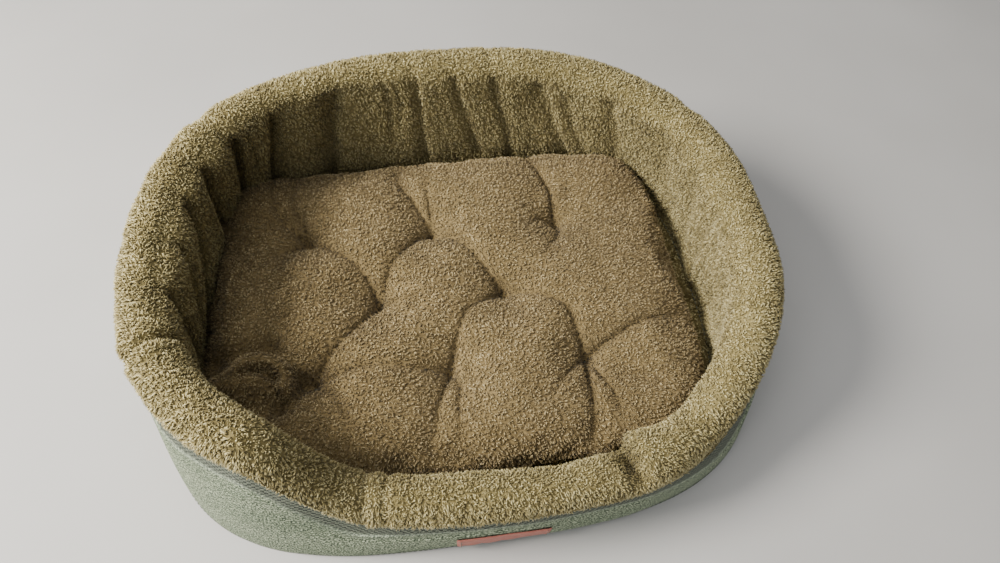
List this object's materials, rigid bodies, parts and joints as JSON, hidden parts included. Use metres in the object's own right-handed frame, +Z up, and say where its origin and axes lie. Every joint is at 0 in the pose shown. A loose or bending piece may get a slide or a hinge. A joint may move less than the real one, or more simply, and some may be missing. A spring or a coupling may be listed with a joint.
{
  "type": "bolster pet bed",
  "caption": "Oval soft-sided pet bed: foam wall in plush and woven cloth, rolled rim with a low front entry, padded floor and a loose tufted plush cushion.",
  "frame": {"origin": "middle of the bed's bounding box in plan, on the floor it stands on", "axes": "+X along the bed's length, +Y from the low front entry to the back wall, +Z up"},
  "size_m": [0.6546, 0.5254, 0.203],
  "materials": {
    "plush": "olive-beige curly pile plush",
    "cushion_plush": "short curly pile plush, a little browner than the wall",
    "woven": "heathered sage-green plain weave",
    "base_cloth": "dark non-slip cloth with small dots",
    "foam": "open-cell polyurethane foam",
    "fibre": "loose polyester fibre fill",
    "tag": "plain brick-red imitation leather",
    "thread": "twisted polyester sewing thread"
  },
  "bodies": {
    "bed": {"outer_skirt": "woven", "wall_lining": "plush", "wall_foam": "foam", "base_foam": "foam", "floor_lining": "plush", "bottom_cover": "base_cloth", "label_tag": "tag", "label_stitch_left": "thread", "label_stitch_right": "thread", "rim_seam_thread": "thread", "base_seam_thread": "thread", "floor_seam_thread": "thread"},
    "cushion": {"cushion_top_cover": "cushion_plush", "cushion_bottom_cover": "cushion_plush", "cushion_fill": "fibre", "tuft_tie_1": "thread", "tuft_tie_2": "thread", "tuft_tie_3": "thread", "tuft_tie_4": "thread", "tuft_tie_5": "thread", "tuft_tie_6": "thread", "tuft_tie_7": "thread", "tuft_tie_8": "thread"}
  },
  "joints": [
    {"name": "cushion_lift", "type": "slide", "parent": "bed", "child": "cushion", "axis": [0, 0, 1], "range_m": [0, 0.22]}
  ]
}
